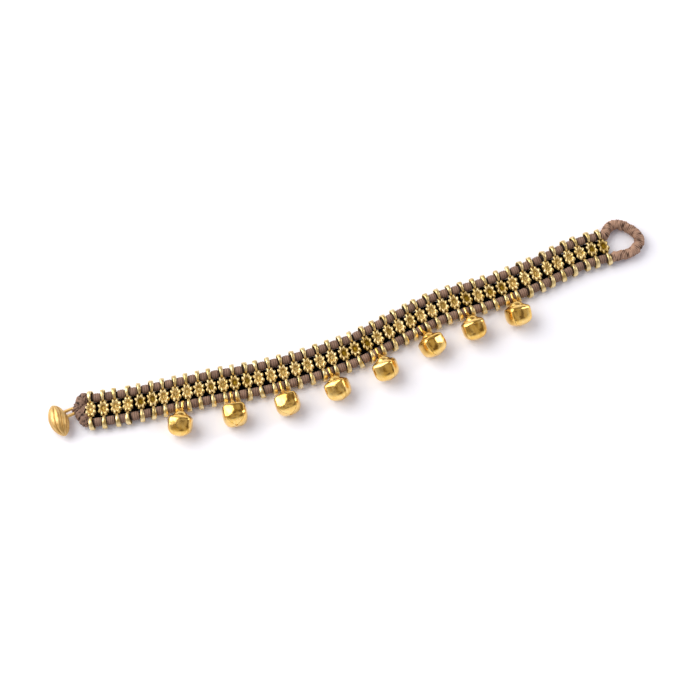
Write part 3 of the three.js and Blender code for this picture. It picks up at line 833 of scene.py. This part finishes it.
# Toggle button
# A fluted, olive-shaped cast button of satin gold with a wire shank soldered to its side.
# The shank runs through the bight, where the button turns.
TOGGLE_LENGTH = 10.8 * MM
TOGGLE_RADIUS = 3.0 * MM
TOGGLE_FLUTES = 8
TOGGLE_ROUND = 168
TOGGLE_STEPS = 60
FLUTE_DEPTH = 0.3 * MM
FLUTE_TWIST = 0.5
FLUTE_POWER = 0.7
FLUTE_FADE = 1.5
TOGGLE_FULLNESS = 0.66
TOGGLE_END = 0.995
TIP_RADIUS = 0.06 * MM
TOGGLE_CREASE_DEG = 50
SHANK_RADIUS = 0.88 * MM
SHANK_LEG = 1.9 * MM
SHANK_TURN_DEG = 18
SHANK_OFFSET = 1.4 * MM
SHANK_WIRE = 0.48 * MM
SHANK_SINK = 1.2 * MM

satin = cast_metal(
    "satin gold", colour(230, 196, 134), colour(212, 172, 106), colour(158, 108, 36), 0.36, 0.5)
shank_reach = SHANK_LEG + TOGGLE_RADIUS
angle = np.arange(TOGGLE_ROUND) / TOGGLE_ROUND * 2 * math.pi
rings = []
painted_flute_shade = []
for t in np.sin(np.linspace(-0.5, 0.5, TOGGLE_STEPS) * math.pi) * TOGGLE_END:
    wide = TOGGLE_RADIUS * (1 - t * t) ** TOGGLE_FULLNESS
    valley = 1 - np.abs(np.cos(TOGGLE_FLUTES / 2 * (angle + FLUTE_TWIST * t))) ** FLUTE_POWER
    fade = min(wide / TOGGLE_RADIUS * FLUTE_FADE, 1)
    reach = np.maximum(wide - FLUTE_DEPTH * valley * fade, TIP_RADIUS)
    rings.append(np.column_stack([np.cos(angle) * reach, np.full(len(angle), t * TOGGLE_LENGTH / 2),
                                  np.sin(angle) * reach]))
    # Painted shade: the flute valleys get the deep colour of the satin metal.
    painted_flute_shade.append(valley**2)
swing = (Matrix.Translation(joints["button_turn"]["pos_m"])
         @ Matrix.Rotation(headings[0] + math.radians(SHANK_TURN_DEG), 4, "Z"))
corners, faces = skin(rings)
spot = swing @ Matrix.Translation((-shank_reach, -SHANK_OFFSET, TOGGLE_RADIUS - RING_RADIUS))
olive = new_piece("fluted_toggle", moved(spot, corners), faces, satin, ["toggle_button"],
                  "button", TOGGLE_CREASE_DEG)
olive.data.attributes.new("painted_hollow_shade", "FLOAT", "POINT").data.foreach_set("value", np.ravel(painted_flute_shade))
corners, faces = hoop(SHANK_RADIUS, shank_reach - SHANK_SINK, SHANK_WIRE)
new_piece("toggle_shank", moved(swing, corners), faces, satin, ["toggle_button"],
          "button", TOGGLE_CREASE_DEG)

# Button loop
# The cords joined in a loop and closely covered with buttonhole stitch: fine turns of thread across it
# and a knotted ridge of purls that wanders round its outer edge.
LOOP_RADIUS = 1.6 * MM
LOOP_HEIGHT = 1.95 * MM
LOOP_SIDES = 32
LOOP_STEPS = 640
STITCH_PITCH = 0.56 * MM
PURL_PITCH = 1.3 * MM
LOOP_RUN = 1.0 * MM
SEAM_GAP = 0.3 * MM
STITCH_DEPTH = 0.16 * MM
STITCH_LEAN = 0.35
PURL_HEIGHT = 0.4 * MM
PURL_SPREAD = 0.55
PURL_LEVEL = 0.55
PURL_SLANT = 3
PURL_PLACE_DEG = 50
PURL_GAP_SHADE = 0.6
PURL_GAP_PLACE = 0.75
PURL_GAP_SPREAD = 0.3
# How the ridge of purls wanders: angle and length of each wave.
WANDER_WAVES = ((0.5, 5.3 * MM), (0.25, 1.7 * MM))
# Uneven thread: length of each wave, its waves round the loop and where it starts.
UNEVEN_WAVES = ((1.1 * MM, 1, 0), (0.63 * MM, -2, 1), (0.41 * MM, 3, 2), (0.33 * MM, -1, 4))
UNEVEN_HEIGHT = 0.05 * MM
END_SLIM = 0.16
START_TAPER = 0.8 * MM
END_TAPER = 1.2 * MM
LOOP_CREASE_DEG = 70
# The loop's middle line past the last link, along the band and across it.
LOOP_POINTS = (
    (3.6, 6.3), (5.9, 6.7), (8.7, 5.3), (11.0, 2.8), (11.8, -0.1), (10.3, -2.4), (7.9, -3.7), (5.4, -3.9),
)

stitched = waxed_thread(
    "stitched taupe", colour(188, 150, 124), colour(142, 110, 90), colour(66, 44, 32), 0.25)
ahead = np.array([math.cos(headings[-1]), math.sin(headings[-1])])
aside = np.array([-ahead[1], ahead[0]])
past_ring = centres[-1] + ahead * (RING_WIDTH / 2 + SEAM_GAP)
ends = [past_ring + side * CORD_SPACING / 2 * across[-1] for side in (1, -1)]
middle = [centres[-1] + (ahead * along + aside * out) * MM for along, out in LOOP_POINTS]
plan = [ends[0], ends[0] + ahead * LOOP_RUN, *middle, ends[1] + ahead * LOOP_RUN, ends[1]]
heights = [CORD_HEIGHT, CORD_HEIGHT, *[LOOP_HEIGHT + FLOOR_GAP] * len(middle), CORD_HEIGHT, CORD_HEIGHT]
line = smooth_line(np.column_stack([plan, heights]), np.linspace(0, len(plan) - 1, LOOP_STEPS))
run = np.concatenate([[0], np.cumsum(np.linalg.norm(np.diff(line, axis=0), axis=1))])
line = np.column_stack([np.interp(np.linspace(0, run[-1], LOOP_STEPS), run, line[:, i]) for i in range(3)])
run = np.linspace(0, run[-1], LOOP_STEPS)
angle = np.arange(LOOP_SIDES) / LOOP_SIDES * 2 * math.pi
stitch = np.abs(np.sin(math.pi * run[:, None] / STITCH_PITCH + STITCH_LEAN * np.sin(angle)[None, :]))
wander = math.radians(PURL_PLACE_DEG) + sum(swing * np.sin(run / length) for swing, length in WANDER_WAVES)
off = np.angle(np.exp(1j * (angle[None, :] - wander[:, None])))
bead = np.sin(2 * math.pi * run[:, None] / PURL_PITCH + PURL_SLANT * off)
purl = np.exp(-((off / PURL_SPREAD) ** 2)) * (PURL_LEVEL + (1 - PURL_LEVEL) * bead)
beside = np.exp(-(((np.abs(off) - PURL_GAP_PLACE) / PURL_GAP_SPREAD) ** 2))
purl_gap_shade = PURL_GAP_SHADE * beside * (1 - stitch)
uneven = sum(np.sin(run[:, None] / length + around * angle[None, :] + phase)
             for length, around, phase in UNEVEN_WAVES)
radii = LOOP_RADIUS + STITCH_DEPTH * (stitch - 1) + PURL_HEIGHT * purl + UNEVEN_HEIGHT * uneven
taper = (0.6 + 0.4 * smoothstep(0, START_TAPER, run)) * smoothstep(0, END_TAPER, run[-1] - run)
radii = radii * (1 - END_SLIM + END_SLIM * taper)[:, None]
corners, faces = tube(line, radii, LOOP_SIDES)
# Painted shade: the deep colour in the stitch channels and beside the purl ridge, paler where the thread
# stands up.
shade = np.clip((1 - stitch) ** 1.5 * 0.55 + 0.6 * purl_gap_shade - 0.2 * uneven, 0, 1)
new_piece("stitched_loop", corners, faces, stitched, ["button_loop"], "band_12",
          LOOP_CREASE_DEG, shade)

# Table, light and camera
# A white table under soft light from behind and to the left, with a dim ceiling for the metal to mirror,
# and the camera high over the near side.
VIEW_AZIMUTH = math.radians(-19)
VIEW_ELEVATION = math.radians(68)
VIEW_DISTANCE = 700 * MM
VIEW_LENS = 116
VIEW_AIM = Vector((81.62, -6.86, 2.0)) * MM
TABLE_HALF = 3.0

scene = bpy.context.scene
scene.view_settings.view_transform = "Standard"

table_mesh = bpy.data.meshes.new("table")
edges = ((-TABLE_HALF, -TABLE_HALF, 0), (TABLE_HALF, -TABLE_HALF, 0),
         (TABLE_HALF, TABLE_HALF, 0), (-TABLE_HALF, TABLE_HALF, 0))
table_mesh.from_pydata(edges, [], [(0, 1, 2, 3)])
table = bpy.data.objects.new("table", table_mesh)
scene.collection.objects.link(table)
white, inputs, start = new_material("white table", {"Roughness": 0.9})
place = start.node("TexCoord", {}, "Object")
mottle = start.node("TexNoise", {"Vector": place, "Scale": 3.0})
start.feed(inputs["Base Color"], mottle.mix(colour(250, 249, 251), colour(253, 252, 254)))
table_mesh.materials.append(white)

world = bpy.data.worlds.new("studio")
scene.world = world
world.use_nodes = True
tree = world.node_tree
sky = Socket(tree)
seen = sky.node("LightPath", {}, "Is Camera Ray")
mirrored = sky.node("LightPath", {}, "Is Glossy Ray")
aim = sky.node("TexCoord", {}, "Generated")
height = sky.node("SeparateXYZ", {0: aim}, 2)
patch = sky.node("TexNoise", {"Vector": aim, "Scale": 2.4, "Detail": 1.0}).between(0.42, 0.6)
room = patch.mix((0.13, 0.09, 0.045, 1.0), (0.52, 0.46, 0.36, 1.0))
ceiling = height.between(0.08, 0.5).mix((0.95, 0.95, 1.0, 1.0), room)
light = mirrored.mix((0.45, 0.45, 0.51, 1.0), ceiling)
sky.feed(tree.nodes["Background"].inputs["Color"], seen.mix(light, (1.0, 1.0, 1.0, 1.0)))


def softbox(name, azimuth, elevation, distance, size, power, tint):
    lamp = bpy.data.lights.new(name, "AREA")
    lamp.shape = "RECTANGLE"
    lamp.size, lamp.size_y = size
    lamp.energy = power
    lamp.color = tint
    holder = bpy.data.objects.new(name, lamp)
    a, e = math.radians(azimuth), math.radians(elevation)
    holder.location = Vector((math.sin(a) * math.cos(e), -math.cos(a) * math.cos(e), math.sin(e))) * distance
    holder.rotation_euler = holder.location.to_track_quat("Z", "Y").to_euler()
    scene.collection.objects.link(holder)


softbox("key", azimuth=230, elevation=42, distance=1.1, size=(1.2, 1.2), power=15.5, tint=(1.0, 0.99, 0.97))
softbox("side", azimuth=95, elevation=35, distance=1.2, size=(0.35, 0.7), power=3.0, tint=(1.0, 0.98, 0.95))

camera = bpy.data.objects.new("camera", bpy.data.cameras.new("camera"))
scene.collection.objects.link(camera)
camera.data.lens = VIEW_LENS
aim = Vector((*centres[0], 0)) + VIEW_AIM
offset = Vector((math.sin(VIEW_AZIMUTH) * math.cos(VIEW_ELEVATION),
                 -math.cos(VIEW_AZIMUTH) * math.cos(VIEW_ELEVATION), math.sin(VIEW_ELEVATION)))
camera.location = aim + offset * VIEW_DISTANCE
camera.rotation_euler = offset.to_track_quat("Z", "Y").to_euler()
scene.camera = camera
